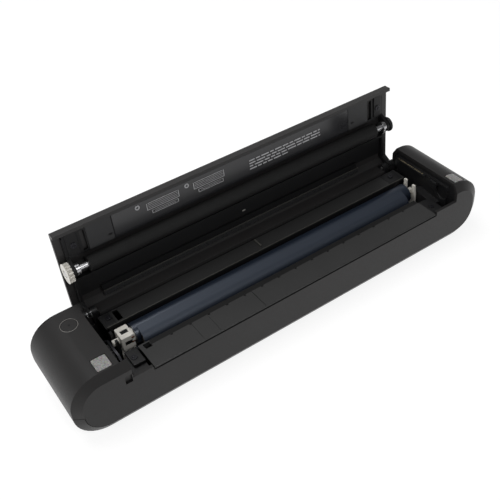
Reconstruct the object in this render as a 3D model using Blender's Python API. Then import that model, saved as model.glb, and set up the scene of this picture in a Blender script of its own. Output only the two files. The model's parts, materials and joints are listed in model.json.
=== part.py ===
"""A portable page-width thermal-transfer printer, standing with its lid open.

Run it with: blender --background --python part.py

Sizes are in millimetres and the mesh helpers turn them into metres. X runs along the printer,
Y from its front to its back and Z up, with the origin at the middle of the flat underside.
Pieces of the lid are drawn with the lid shut, and the hinge empty turns them open.
"""

import math

import bmesh
import bpy
from mathutils import Matrix, Vector

for old_object in list(bpy.data.objects):
    bpy.data.objects.remove(old_object, do_unlink=True)

MM = 0.001

# Overall body.
BODY_LENGTH = 310.0
BODY_DEPTH = 64.0
BODY_HEIGHT = 44.8
END_RADIUS = 20.0
CHAMFER_FACE = 5.7
CHAMFER_DEPTH = 3.6
WALL = 2.2
SEAM_HEIGHT = 21.0
LEFT_HOUSING = 33.5
RIGHT_HOUSING = 22.7

# Clearances.
GAP = 0.3
LID_GAP = 0.4
MESH_GAP = 0.15

# Lid and hinge.
LID_OPEN_ANGLE = 93.0
HINGE_FROM_BACK = 2.7
HINGE_FROM_TOP = 11.8
HINGE_PIN_RADIUS = 1.2
HINGE_BOSS_RADIUS = 2.6
LID_FRONT_FROM_FRONT = 4.1
LID_LIP_HEIGHT = 5.9
LID_FLANGE_FROM_TOP = 15.6
SIDE_PLATE = 1.8

# Paper path.
DECK_FROM_TOP = 13.8
PLATE_THICKNESS = 1.5
PLATE_STEP = 4.4
NOTCH_PITCH = 13.0
BOARD_THICKNESS = 1.6
PLATEN_RADIUS = 5.0
PLATEN_Y = -2.2
PLATEN_LID_GAP = 1.04
SHAFT_RADIUS = 2.0
HEAD_ROUND = 6.9
HEAD_DEPTH = 4.0
HEAD_BEHIND_PLATEN = 2.0
HEATSINK_HEIGHT = 4.5
FILM_THICKNESS = 0.15

# Ribbon spools.
SUPPLY_RADIUS = 6.8
TAKEUP_RADIUS = 5.3
CORE_RADIUS = 4.3
SUPPLY_Y = 4.2
TAKEUP_Y = 6.0

# Gears.
MODULE = 0.7
PLATEN_TEETH = 16
DRIVE_TEETH = 24
TAKEUP_TEETH = 20
PINION_TEETH = 12
GEAR_WIDTH = 3.8
FLANGE_RADIUS = 6.5
FLANGE_WIDTH = 0.5
MOTOR_RADIUS = 10.0
MOTOR_LENGTH = 21.0
PINION_ANGLE = 206.6

# Details of the case.
BUTTON_RADIUS = 5.1
BUTTON_X_FROM_BAY = -10.4
BUTTON_Y = 15.2
BUTTON_TRAVEL = 0.6
WINDOW_DEPTH = 9.8
WINDOW_THICKNESS = 2.0
FOOT_RADIUS = 5.0
FOOT_PROUD = 0.8
SCREW_HEAD_RADIUS = 2.1
SCREW_SHANK_RADIUS = 1.0
SCREW_FROM_END = 57.0
CHASSIS_THICKNESS = 1.2

# Places worked out from the sizes above.
half_length = BODY_LENGTH / 2
half_depth = BODY_DEPTH / 2
bay_left = -half_length + LEFT_HOUSING
bay_right = half_length - RIGHT_HOUSING
lid_left = bay_left + LID_GAP
lid_right = bay_right - LID_GAP
deck_top = BODY_HEIGHT - DECK_FROM_TOP
skin_inside = BODY_HEIGHT - WALL
hinge_y = half_depth - HINGE_FROM_BACK
hinge_z = BODY_HEIGHT - HINGE_FROM_TOP
platen_z = skin_inside - PLATEN_LID_GAP - PLATEN_RADIUS
head_y = PLATEN_Y + HEAD_BEHIND_PLATEN
head_z = platen_z - PLATEN_RADIUS - HEAD_ROUND - 2 * GAP - FILM_THICKNESS
head_front = head_y - HEAD_ROUND
head_back = head_front + HEAD_DEPTH
plate_back = head_front - 3.7
heatsink_bottom = head_z - 2.7 - HEATSINK_HEIGHT
rail_top = heatsink_bottom - 4.3
supply_z = head_z + 1.5
film_left = bay_left + 21.9
film_right = bay_right - 13.5
cradle_x = bay_left + 9.3
fork_x = bay_right - 9.4
bay_floor = WALL + GAP + CHASSIS_THICKNESS
bay_front = plate_back - CHASSIS_THICKNESS
bay_back = SUPPLY_Y + SUPPLY_RADIUS + 2.1
flange_bottom = BODY_HEIGHT - LID_FLANGE_FROM_TOP
hinge_sweep = math.hypot(half_depth - hinge_y, hinge_z - flange_bottom) + GAP
back_wall_top = hinge_z - hinge_sweep - 0.1
deck_back = hinge_y - hinge_sweep
gear_left = bay_left + 0.7
gear_right = gear_left + GEAR_WIDTH
side_left = gear_right + 0.6
side_right = bay_right - 7.8
cavity_depth = half_depth - WALL - GAP


def material(name, colour, roughness, metallic=0.0):
    """A plain finish: an sRGB grey or colour, how rough it is and whether it is metal."""
    made = bpy.data.materials.new(name)
    made.use_nodes = True
    shader = made.node_tree.nodes["Principled BSDF"]
    linear = [(value / 255) ** 2.2 for value in colour]
    shader.inputs["Base Color"].default_value = (*linear, 1.0)
    shader.inputs["Roughness"].default_value = roughness
    shader.inputs["Metallic"].default_value = metallic
    return made


CASE_BLACK = material("case_black", (46, 44, 44), 0.45)
FRAME_BLACK = material("frame_black", (30, 30, 31), 0.5)
LABEL_BLACK = material("label_black", (38, 38, 40), 0.2)
RUBBER_BLACK = material("rubber_black", (34, 34, 35), 0.7)
FILM_BLUE = material("film_blue", (38, 42, 58), 0.25)
WHITE_PLASTIC = material("white_plastic", (226, 225, 220), 0.4)
STEEL = material("steel", (190, 190, 192), 0.3, 1.0)
BLACK_STEEL = material("black_steel", (48, 48, 50), 0.35, 1.0)
ALUMINIUM = material("aluminium", (176, 178, 181), 0.4, 1.0)
BRASS = material("brass", (184, 152, 92), 0.35, 1.0)
BOARD_GREEN = material("board_green", (28, 82, 52), 0.5)
WINDOW_GREY = material("window_grey", (166, 166, 166), 0.35)
BATTERY_WRAP = material("battery_wrap", (52, 74, 108), 0.5)
CERAMIC = material("ceramic", (120, 112, 104), 0.3)

hinge = bpy.data.objects.new("hinge_axis", None)
hinge.location = (0.0, hinge_y * MM, hinge_z * MM)
hinge.rotation_euler = (-math.radians(LID_OPEN_ANGLE), 0.0, 0.0)
bpy.context.scene.collection.objects.link(hinge)


def axis_empty(name, y, z, parent=None):
    """An empty on a turning axis, placed where the axis is with the lid shut."""
    empty = bpy.data.objects.new(name, None)
    bpy.context.scene.collection.objects.link(empty)
    empty.location = (0.0, y * MM, z * MM)
    if parent is not None:
        seat(empty, parent)
    return empty


def seat(piece, parent):
    """Parents a piece drawn in the shut position to an empty, keeping where it was drawn."""
    piece.parent = parent
    piece.matrix_parent_inverse = Matrix.Translation(-Vector(parent.location))


def build(name, points, faces, look, parent=None):
    """A mesh object from points in millimetres, with its faces turned outwards."""
    mesh = bpy.data.meshes.new(name)
    shape = bmesh.new()
    corners = [shape.verts.new(Vector(point) * MM) for point in points]
    for face in faces:
        shape.faces.new([corners[index] for index in face])
    bmesh.ops.recalc_face_normals(shape, faces=shape.faces)
    shape.to_mesh(mesh)
    shape.free()
    piece = bpy.data.objects.new(name, mesh)
    bpy.context.scene.collection.objects.link(piece)
    if look is not None:
        mesh.materials.append(look)
    if parent is not None:
        seat(piece, parent)
    return piece


def smooth(piece, angle=35.0):
    """Shades the round faces smooth and keeps the corners crisp."""
    piece.data.shade_smooth()
    piece.data.set_sharp_from_angle(angle=math.radians(angle))
    return piece


def prism(name, outline, axis, low, high, look, parent=None):
    """An outline of two coordinates pushed along the third axis, from low to high."""
    places = {"X": (1, 2, 0), "Y": (0, 2, 1), "Z": (0, 1, 2)}[axis]
    points = []
    for depth in (low, high):
        for first, second in outline:
            point = [0.0, 0.0, 0.0]
            point[places[0]] = first
            point[places[1]] = second
            point[places[2]] = depth
            points.append(point)
    count = len(outline)
    faces = [list(range(count)), list(range(count, 2 * count))]
    for index in range(count):
        after = (index + 1) % count
        faces.append([index, after, count + after, count + index])
    return build(name, points, faces, look, parent)


def box(name, low, high, look, parent=None):
    """A block between its lowest and highest corners."""
    outline = [(low[1], low[2]), (high[1], low[2]), (high[1], high[2]), (low[1], high[2])]
    return prism(name, outline, "X", low[0], high[0], look, parent)


def circle(centre, radius, steps=24, start=0.0):
    """Points round a circle."""
    turn = 2 * math.pi / steps
    return [
        (
            centre[0] + radius * math.cos(start + turn * step),
            centre[1] + radius * math.sin(start + turn * step),
        )
        for step in range(steps)
    ]


def arc(centre, radius, first, last, steps=8):
    """Points along an arc between two angles in degrees."""
    points = []
    for step in range(steps + 1):
        angle = math.radians(first + (last - first) * step / steps)
        points.append((centre[0] + radius * math.cos(angle), centre[1] + radius * math.sin(angle)))
    return points


def rounded(low, high, radius, steps=5):
    """A rectangle with round corners."""
    corners = (
        (high[0] - radius, high[1] - radius, 0),
        (low[0] + radius, high[1] - radius, 90),
        (low[0] + radius, low[1] + radius, 180),
        (high[0] - radius, low[1] + radius, 270),
    )
    points = []
    for x, y, first in corners:
        points += arc((x, y), radius, first, first + 90, steps)
    return points


def turned(name, profile, centre, look, parent=None, steps=28, ring=False):
    """A profile of (x, radius) turned about an axis along X through centre (y, z)."""
    points = []
    rows = []
    for x, radius in profile:
        if radius == 0:
            rows.append([len(points)])
            points.append((x, centre[0], centre[1]))
            continue
        rows.append(list(range(len(points), len(points) + steps)))
        points += [(x, y, z) for y, z in circle(centre, radius, steps)]
    faces = []
    pairs = list(zip(rows, rows[1:]))
    if ring:
        pairs.append((rows[-1], rows[0]))
    for near, far in pairs:
        for step in range(steps):
            after = (step + 1) % steps
            if len(near) == 1:
                faces.append([near[0], far[step], far[after]])
            elif len(far) == 1:
                faces.append([near[step], far[0], near[after]])
            else:
                faces.append([near[step], near[after], far[after], far[step]])
    return smooth(build(name, points, faces, look, parent))


def rod(name, x_low, x_high, radius, centre, look, parent=None, steps=28, bevel=0.25):
    """A plain round bar along X with a small bevel at both ends."""
    profile = [
        (x_low, 0),
        (x_low, radius - bevel),
        (x_low + bevel, radius),
        (x_high - bevel, radius),
        (x_high, radius - bevel),
        (x_high, 0),
    ]
    return turned(name, profile, centre, look, parent, steps)


def sleeve(name, x_low, x_high, outer, inner, centre, look, parent=None, steps=28):
    """A round tube along X."""
    profile = [(x_low, inner), (x_low, outer), (x_high, outer), (x_high, inner)]
    return turned(name, profile, centre, look, parent, steps, ring=True)


def change(piece, other, operation):
    """Adds a Boolean of another object, which then stays out of the render."""
    other.hide_render = True
    other.display_type = "WIRE"
    modifier = piece.modifiers.new(other.name, "BOOLEAN")
    modifier.operation = operation
    modifier.object = other
    return piece


def cut(piece, *cutters):
    """Takes each cutter away from the piece."""
    for cutter in cutters:
        change(piece, cutter, "DIFFERENCE")
    return piece


def fuse(piece, *others):
    """Joins each other shape to the piece."""
    for other in others:
        change(piece, other, "UNION")
    return piece


def soften(piece, width, angle=40.0):
    """A small bevel along the sharp edges."""
    bevel = piece.modifiers.new("soft_edges", "BEVEL")
    bevel.width = width * MM
    bevel.segments = 1
    bevel.limit_method = "ANGLE"
    bevel.angle_limit = math.radians(angle)
    bevel.use_clamp_overlap = True
    return piece


# --- The two-part case -------------------------------------------------------------------------


def case_outline(inset, steps=10):
    """The rounded outline of the case seen from the front, moved inwards."""
    low = (-half_length + inset, inset)
    high = (half_length - inset, BODY_HEIGHT - inset)
    return rounded(low, high, END_RADIUS - inset, steps)


def chamfer_inside(offset):
    """How far the chamfer reaches along the faces and along Y, on a form moved inwards."""
    slope = math.hypot(1 / CHAMFER_DEPTH, 1 / CHAMFER_FACE) * offset
    face_inset = CHAMFER_FACE * (1 + slope - offset / CHAMFER_DEPTH)
    side_step = CHAMFER_DEPTH * (1 + slope - offset / CHAMFER_FACE)
    return face_inset, side_step


def case_form(name, offset, look=None):
    """The whole outer form of the case, or the same form moved inwards by offset."""
    face_inset, side_step = chamfer_inside(offset)
    sections = (
        (-half_depth + offset, face_inset),
        (-half_depth + side_step, offset),
        (half_depth - side_step, offset),
        (half_depth - offset, face_inset),
    )
    points = []
    for y, inset in sections:
        points += [(x, y, z) for x, z in case_outline(inset)]
    count = len(points) // len(sections)
    faces = [list(range(count)), list(range(3 * count, 4 * count))]
    for section in range(3):
        for index in range(count):
            after = (index + 1) % count
            base = section * count
            faces.append([base + index, base + after, base + count + after, base + count + index])
    return build(name, points, faces, look)


def face_panel(name, grow):
    """The flat front panel, which belongs to the upper casing down to its lower edge."""
    outline = case_outline(CHAMFER_FACE - grow, steps=13)
    return prism(name, outline, "Y", -half_depth - 5, -half_depth + 2.6 + grow, None)


def button_place():
    return (bay_left + BUTTON_X_FROM_BAY, BUTTON_Y)


def window_outline(side, grow):
    """The rounded light window in the top of each housing."""
    middle = bay_left - 8.1 if side == "left" else bay_right + 6.1
    half_width = (4.5 if side == "left" else 3.8) + grow
    front = -half_depth + CHAMFER_DEPTH + 1.3
    low = (middle - half_width, front - grow)
    high = (middle + half_width, front + WINDOW_DEPTH + grow)
    return rounded(low, high, 0.9, steps=3)


def upper_casing():
    far = half_length + 5
    casing = case_form("upper_casing", 0.0, CASE_BLACK)
    below = box("below_seam", (-far, -far, -5), (far, far, SEAM_HEIGHT), None)
    cut(below, face_panel("panel_left_on", -GAP / 2))
    top_low = (bay_left, -half_depth + 3.8, skin_inside - 3)
    top_opening = box("top_opening", top_low, (bay_right, far, 60), None)
    back_opening = box("back_opening", (bay_left, 20, back_wall_top), (bay_right, far, 60), None)
    sill = deck_top + 1.2
    front_low = (bay_left + 4.5, -far, sill)
    front_opening = box("front_opening", front_low, (bay_right, -half_depth + 4.5, 60), None)
    plate_opening = box(
        "plate_opening",
        (bay_left + 17.3, -far, deck_top - PLATE_THICKNESS - GAP),
        (bay_right - 18.0, -half_depth + 4.5, 60),
        None,
    )
    notch_low = (bay_left - 0.4, -far, deck_top - 1.2)
    latch_notch = box("latch_notch", notch_low, (bay_left + 4.0, -half_depth + 1.5, deck_top + 4.6), None)
    button_hole = prism("button_hole", circle(button_place(), BUTTON_RADIUS + GAP, 32), "Z", 30, 60, None)
    cut(casing, case_form("case_cavity", WALL), below, top_opening, back_opening, front_opening)
    cut(casing, plate_opening, button_hole, latch_notch)
    for side in ("left", "right"):
        cut(casing, prism(side + "_window_hole", window_outline(side, GAP), "Z", 30, 60, None))
    return smooth(casing, 25)


def bottom_cover():
    far = half_length + 5
    cover = case_form("bottom_cover", 0.0, CASE_BLACK)
    above = box("above_seam", (-far, -far, SEAM_HEIGHT - GAP), (far, far, 60), None)
    cut(cover, case_form("cover_cavity", WALL), above, face_panel("panel_taken_off", GAP / 2))
    for number, (x, y) in enumerate(foot_places(), 1):
        pocket = circle((x, y), FOOT_RADIUS + GAP)
        cut(cover, prism(f"foot_pocket_{number}", pocket, "Z", -1, 0.8, None))
    for number, (x, y) in enumerate(screw_places(), 1):
        counterbore = circle((x, y), SCREW_HEAD_RADIUS + GAP, 16)
        through = circle((x, y), SCREW_SHANK_RADIUS + GAP, 16)
        cut(cover, prism(f"counterbore_{number}", counterbore, "Z", -1, 1.2, None))
        cut(cover, prism(f"screw_hole_{number}", through, "Z", 1, WALL + 1, None))
    port = rounded((usb_x() - 4.9, 11.8), (usb_x() + 4.9, 15.6), 1.4)
    cut(cover, prism("port_slot", port, "Y", cavity_depth - 2, half_depth + 5, None))
    return smooth(cover, 25)


def foot_places():
    inset = half_depth - 12.0
    reach = half_length - 43.0
    return [(x, y) for x in (-reach, reach) for y in (-inset, inset)]


def screw_places():
    reach = half_length - SCREW_FROM_END
    return [(x, y) for x in (-reach, reach) for y in (-half_depth + 7.0, half_depth - 10.0)]


def usb_x():
    return bay_right + 9.3


def case_fittings():
    """Feet, screws, light windows, button and the charging port."""
    for number, (x, y) in enumerate(foot_places(), 1):
        pad = circle((x, y), FOOT_RADIUS)
        foot = prism(f"rubber_foot_{number}", pad, "Z", -FOOT_PROUD, 0.5, RUBBER_BLACK)
        smooth(soften(foot, 0.3))
    for number, (x, y) in enumerate(screw_places(), 1):
        head = prism(f"case_screw_{number}", circle((x, y), SCREW_HEAD_RADIUS, 16), "Z", 0.2, 0.9, STEEL)
        shank = prism(f"shank_{number}", circle((x, y), SCREW_SHANK_RADIUS, 16), "Z", 0.5, 9.0, None)
        slot_low = (x - 1.4, y - 0.25, 0)
        slot = box(f"driver_slot_{number}", slot_low, (x + 1.4, y + 0.25, 0.5), None)
        smooth(cut(fuse(head, shank), slot))
    for side in ("left", "right"):
        name = side + "_light_window"
        window = prism(name, window_outline(side, 0.0), "Z", skin_inside - WINDOW_THICKNESS, 60, WINDOW_GREY)
        smooth(change(window, case_form(side + "_window_form", 0.0), "INTERSECT"), 25)
    x, y = button_place()
    cap_outline = circle((x, y), BUTTON_RADIUS, 32)
    cap = prism("power_button", cap_outline, "Z", skin_inside - 2.0, BODY_HEIGHT, CASE_BLACK)
    stem = prism("button_stem", circle((x, y), 1.6, 16), "Z", control_board_top() + 0.9, skin_inside, None)
    smooth(fuse(soften(cap, 0.3), stem))
    port = prism(
        "usb_port",
        rounded((usb_x() - 4.5, 12.1), (usb_x() + 4.5, 15.3), 1.2),
        "Y",
        half_depth - 8.5,
        half_depth - 0.3,
        STEEL,
    )
    mouth = rounded((usb_x() - 4.0, 12.6), (usb_x() + 4.0, 14.8), 0.9)
    smooth(cut(port, prism("port_mouth", mouth, "Y", half_depth - 7.5, half_depth + 5, None)))


def control_board_top():
    return skin_inside - 7.4


# --- The bulkheads and the chassis inside the bay ----------------------------------------------


def bulkheads():
    """The inner walls that close both housings towards the bay."""
    top = skin_inside - GAP
    bottom = WALL + GAP + 3.4
    outline = [(-cavity_depth + 2.2, bottom), (cavity_depth - 2.2, bottom)]
    outline += [(cavity_depth - 0.1, bottom + 3), (cavity_depth - 0.1, top - 4)]
    outline += [(cavity_depth - 2.4, top), (-cavity_depth + 2.4, top)]
    outline += [(-cavity_depth + 0.1, top - 4), (-cavity_depth + 0.1, bottom + 3)]
    left = prism("left_bulkhead", outline, "X", bay_left - 2.1, bay_left - 0.5, FRAME_BLACK)
    cut(left, rod("motor_shaft_hole", bay_left - 4, bay_left + 2, 1.6, pinion_centre(), None))
    right = prism("right_bulkhead", outline, "X", bay_right + 0.5, bay_right + 2.1, FRAME_BLACK)
    ledge_top = BODY_HEIGHT - 5.0
    ledge = [(-half_depth + 8.5, bottom + 3), (cavity_depth - 2, bottom + 3)]
    ledge += [(cavity_depth - 2, back_wall_top), (hinge_y - hinge_sweep, back_wall_top)]
    ledge += [(hinge_y - hinge_sweep, ledge_top), (-half_depth + 8.5, ledge_top)]
    step = prism("right_ledge", ledge, "X", bay_right - 1.1, bay_right + 1.0, None)
    fuse(right, step)
    block = [(-half_depth + 14.5, bottom + 3), (SUPPLY_Y - 1.5, bottom + 3)]
    block += [(SUPPLY_Y - 1.5, supply_z + 1.5), (SUPPLY_Y - 3.5, supply_z + 2.0)]
    block += [(-half_depth + 14.5, deck_top - 6.0)]
    fuse(right, prism("right_spool_block", block, "X", fork_x + 2.6, bay_right + 0.9, None))
    boss = (-half_depth + 13.5, BODY_HEIGHT - 11.5)
    cut(right, rod("boss_recess", bay_right - 3, bay_right + 0.2, 5.6, boss, None, steps=24))


def chassis():
    """The moulded floor of the bay, with its ribbon trough, screw posts and corner shelves."""
    low = WALL + GAP
    reach = half_depth - chamfer_inside(WALL)[1] - 2 * GAP
    wall = CHASSIS_THICKNESS
    outline = [(-reach, low), (reach, low), (reach, low + wall), (bay_back + wall, low + wall)]
    outline += [(bay_back + wall, deck_top - PLATE_THICKNESS - GAP)]
    outline += [(bay_back, deck_top - PLATE_THICKNESS - GAP), (bay_back, low + wall)]
    outline += [(bay_front + wall, low + wall), (bay_front + wall, deck_top - 5)]
    outline += [(bay_front, deck_top - 5), (bay_front, low + wall), (-reach, low + wall)]
    floor = prism("chassis", outline, "X", cradle_x + 2.0, fork_x - GAP, FRAME_BLACK)
    for number, (x, y) in enumerate(screw_places(), 1):
        fuse(floor, prism(f"screw_post_{number}", circle((x, y), 2.6, 16), "Z", low + 0.5, 10.5, None))
        hole = circle((x, y), SCREW_SHANK_RADIUS + GAP, 16)
        cut(floor, prism(f"post_hole_{number}", hole, "Z", low - 1, 11.5, None))
    for side, (x, y) in deck_screw_places().items():
        post = circle((x, y), 2.8, 16)
        fuse(floor, prism(side + "_deck_post", post, "Z", low + 0.5, deck_top - PLATE_THICKNESS - GAP, None))
        hole = circle((x, y), SCREW_SHANK_RADIUS + GAP, 16)
        cut(floor, prism(side + "_deck_post_hole", hole, "Z", deck_top - 8, deck_top, None))
    return floor


def deck_screw_places():
    y = (bay_back + deck_back) / 2 + 0.5
    return {"left": (cradle_x + 5.2, y), "right": (fork_x - 4.0, y)}


def shelf_outline(side):
    front = -cavity_depth + 0.2
    back = bay_front - 1.2
    if side == "left":
        return (bay_left + 6.9, front), (bay_left + 16.9, back)
    return (bay_right - 17.6, front), (fork_x + 2.2, back)


def corner_shelves():
    """The moulded shelves beside the guide plate, each on a leg that stands on the floor."""
    for side in ("left", "right"):
        low, high = shelf_outline(side)
        top = deck_top - 2.8
        shelf = box(side + "_shelf", (*low, top - 1.4), (*high, top), FRAME_BLACK)
        leg_low = (low[0], high[1] - 1.4, WALL + GAP + 3.4)
        leg = box(side + "_shelf_leg", leg_low, (*high, top - 0.5), None)
        fuse(shelf, leg)
        middle = ((low[0] + high[0]) / 2, (low[1] + high[1]) / 2)
        dimple = circle(middle, 2.0, 16)
        cut(shelf, prism(side + "_shelf_hole", dimple, "Z", top - 0.7, top + 1, None))
        through = circle(middle, SCREW_SHANK_RADIUS + GAP, 16)
        cut(shelf, prism(side + "_shelf_bore", through, "Z", top - 3, top + 1, None))
        head = prism(side + "_shelf_screw", circle(middle, 1.7, 16), "Z", top - 0.4, top + 0.4, BLACK_STEEL)
        fuse(head, prism(side + "_shelf_shank", circle(middle, 1.0, 16), "Z", top - 6, top, None))


def guide_plate():
    """The flat plate in front of the head that the paper slides over, with a step at its rear."""
    top = deck_top
    under = top - PLATE_THICKNESS
    front = -half_depth + 0.3
    outline = [(front + 0.4, top), (front, top - 0.4), (front, under), (plate_back - 1.2, under)]
    outline += [(plate_back - 1.2, under - 3.0), (plate_back, under - 3.0), (plate_back, top - 0.8)]
    step = plate_back - PLATE_STEP
    outline += [(step, top - 0.8), (step, top)]
    left = bay_left + 18.2
    right = bay_right - 18.8
    plate = prism("guide_plate", outline, "X", left, right, FRAME_BLACK)
    slot_low = (left + 2.6, step - 1.4, under - 1)
    cut(plate, box("sensor_slot", slot_low, (left + 7.0, plate_back - 1.0, top + 1), None))
    for number in range(int((right - left - 25.0) / NOTCH_PITCH) + 1):
        x = left + 20.3 + NOTCH_PITCH * number
        notch_low = (x - 0.8, step - 0.9, top - 1.1)
        cut(plate, box(f"plate_notch_{number + 1}", notch_low, (x + 0.8, step + 0.5, top + 1), None))


def rear_deck():
    """The flat deck behind the ribbon bay, with its paper rib and the recess for the spool latch."""
    top = deck_top
    front = bay_back - 0.5
    deck_left = cradle_x
    deck_right = bay_right - 5.8
    low = (deck_left, front, top - PLATE_THICKNESS)
    deck = box("rear_deck", low, (deck_right, deck_back, top), FRAME_BLACK)
    rib_low = (2.6, front + 2.5, top - 0.4)
    fuse(deck, box("deck_rib", rib_low, (3.4, deck_back - 1.0, top + 0.9), None))
    recess_low = (deck_left + 9.0, front + 1.6, top - 5)
    cut(deck, box("deck_recess", recess_low, (deck_left + 12.6, deck_back - 0.8, top + 2), None))
    for side, (x, y) in deck_screw_places().items():
        hole = circle((x, y), SCREW_SHANK_RADIUS + GAP, 16)
        cut(deck, prism(side + "_deck_hole", hole, "Z", top - 4, top + 2, None))
        head = prism(side + "_deck_screw", circle((x, y), 1.9, 16), "Z", top + GAP, top + 1.2, BLACK_STEEL)
        fuse(head, prism(side + "_deck_shank", circle((x, y), 1.0, 16), "Z", top - 7, top + 0.8, None))


def hinge_brackets():
    """A bracket with two lugs at each end, and the pin that the lid turns on."""
    lug = arc((hinge_y, hinge_z), HINGE_BOSS_RADIUS, 0, 180, 10)
    lug += [(hinge_y - HINGE_BOSS_RADIUS, WALL + GAP + 3.4), (cavity_depth - 0.6, WALL + GAP + 3.4)]
    lug += [(cavity_depth - 0.6, back_wall_top - 1.0), (hinge_y + HINGE_BOSS_RADIUS, hinge_z - 1.5)]
    pairs = {
        "left": (bay_left + 0.6, side_left - 0.8, side_left + SIDE_PLATE + 0.8, bay_left + 11.4),
        "right": (side_right - 5.0, side_right - 0.8, side_right + SIDE_PLATE + 0.8, bay_right - 1.7),
    }
    for side, (first, second, third, fourth) in pairs.items():
        bracket = prism(side + "_hinge_bracket", lug, "X", first, second, FRAME_BLACK)
        fuse(bracket, prism(side + "_hinge_lug", lug, "X", third, fourth, None))
        web_low = (first + 0.2, hinge_y - HINGE_BOSS_RADIUS, WALL + GAP + 3.6)
        web_high = (fourth - 0.2, cavity_depth - 0.7, hinge_z - 9.0)
        fuse(bracket, box(side + "_hinge_web", web_low, web_high, None))
        axis = (hinge_y, hinge_z)
        cut(bracket, rod(side + "_hinge_bore", first - 2, fourth + 2, HINGE_PIN_RADIUS + GAP, axis, None))
        rod(side + "_hinge_pin", first, fourth, HINGE_PIN_RADIUS, axis, STEEL, steps=20)


# --- Print head --------------------------------------------------------------------------------


def print_head():
    """The round-nosed heated bar on its heat sink, two springs and the rail that carries them."""
    low_x = film_left + 2.6
    high_x = film_right - 6.3
    head_bottom = head_z - 2.4
    nose = arc((head_y, head_z), HEAD_ROUND, 115, 180, 14)
    outline = [*nose, (head_front, head_bottom), (head_back, head_bottom)]
    smooth(prism("print_head", outline, "X", low_x, high_x, CERAMIC), 25)
    sink_low = (low_x + 1, head_front, heatsink_bottom)
    box("heatsink", sink_low, (high_x - 1, head_back - 0.2, head_bottom - GAP), ALUMINIUM)
    rail_low = (film_left - 7.5, head_front, rail_top - 1.4)
    box("head_rail", rail_low, (fork_x - GAP, head_back, rail_top), STEEL)
    for side, x in (("left", low_x + 40.0), ("right", high_x - 40.0)):
        spring(side + "_head_spring", x, (head_front + head_back) / 2)


def spring(name, x, y):
    """A short coil spring standing between the rail and the heat sink."""
    low = rail_top + GAP + 0.35
    high = heatsink_bottom - GAP - 0.35
    turns = 3
    per_turn = 12
    points = []
    for step in range(turns * per_turn + 1):
        angle = 2 * math.pi * step / per_turn
        rise = low + (high - low) * step / (turns * per_turn)
        points.append((x + 1.7 * math.cos(angle), y + 1.7 * math.sin(angle), rise))
    curve = bpy.data.curves.new(name, "CURVE")
    curve.dimensions = "3D"
    curve.bevel_depth = 0.3 * MM
    curve.bevel_resolution = 1
    curve.use_fill_caps = True
    curve.materials.append(STEEL)
    line = curve.splines.new("POLY")
    line.points.add(len(points) - 1)
    for place, point in zip(line.points, points):
        place.co = (*(Vector(point) * MM), 1.0)
    piece = bpy.data.objects.new(name, curve)
    bpy.context.scene.collection.objects.link(piece)
    return piece


# --- Ribbon ------------------------------------------------------------------------------------


def ribbon():
    """The full roll and the empty core that takes the used film up, with the film between them."""
    supply = (SUPPLY_Y, supply_z)
    takeup = takeup_centre()
    supply_axis = axis_empty("supply_axis", *supply)
    takeup_axis = axis_empty("takeup_axis", *takeup)
    bore = CORE_RADIUS + GAP
    sleeve("supply_film", film_left, film_right, SUPPLY_RADIUS, bore, supply, FILM_BLUE, supply_axis)
    hub_left = film_left - 8.6
    profile = [(cradle_x - 0.9, 0), (cradle_x - 0.9, 2.2), (hub_left - 0.6, 2.2), (hub_left - 0.6, 5.2)]
    profile += [(hub_left + 1.4, 5.2), (hub_left + 1.4, 6.0), (film_left - 2.0, 6.0)]
    profile += [(film_left - 2.0, CORE_RADIUS), (film_right + 3.0, CORE_RADIUS)]
    profile += [(film_right + 3.0, 2.0), (fork_x + 2.2, 2.0), (fork_x + 2.2, 0)]
    core = turned("supply_core", profile, supply, WHITE_PLASTIC, supply_axis)
    for number, angle in enumerate((0, 90, 180, 270), 1):
        dog_angle = math.radians(angle)
        dog = (supply[0] + 5.9 * math.cos(dog_angle), supply[1] + 5.9 * math.sin(dog_angle))
        slot = rod(f"hub_slot_{number}", hub_left + 2.6, film_left - 3.2, 1.3, dog, None, supply_axis, 12)
        cut(core, slot)
    sleeve("takeup_film", film_left, film_right, TAKEUP_RADIUS, bore, takeup, FILM_BLUE, takeup_axis)
    profile = [(gear_left + 0.2, 0), (gear_left + 0.2, 1.8), (cradle_x + 1.8, 1.8)]
    profile += [(cradle_x + 1.8, CORE_RADIUS), (film_right + 3.0, CORE_RADIUS)]
    profile += [(film_right + 3.0, 2.0), (fork_x + 2.2, 2.0), (fork_x + 2.2, 0)]
    turned("takeup_core", profile, takeup, WHITE_PLASTIC, takeup_axis)
    film_web(supply, takeup)


def tangent(centre, radius, point, side):
    """Where a line from point touches the circle, on the chosen side."""
    away = (point[0] - centre[0], point[1] - centre[1])
    reach = math.hypot(*away)
    angle = math.atan2(away[1], away[0]) + side * math.acos(radius / reach)
    return (centre[0] + radius * math.cos(angle), centre[1] + radius * math.sin(angle))


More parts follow.
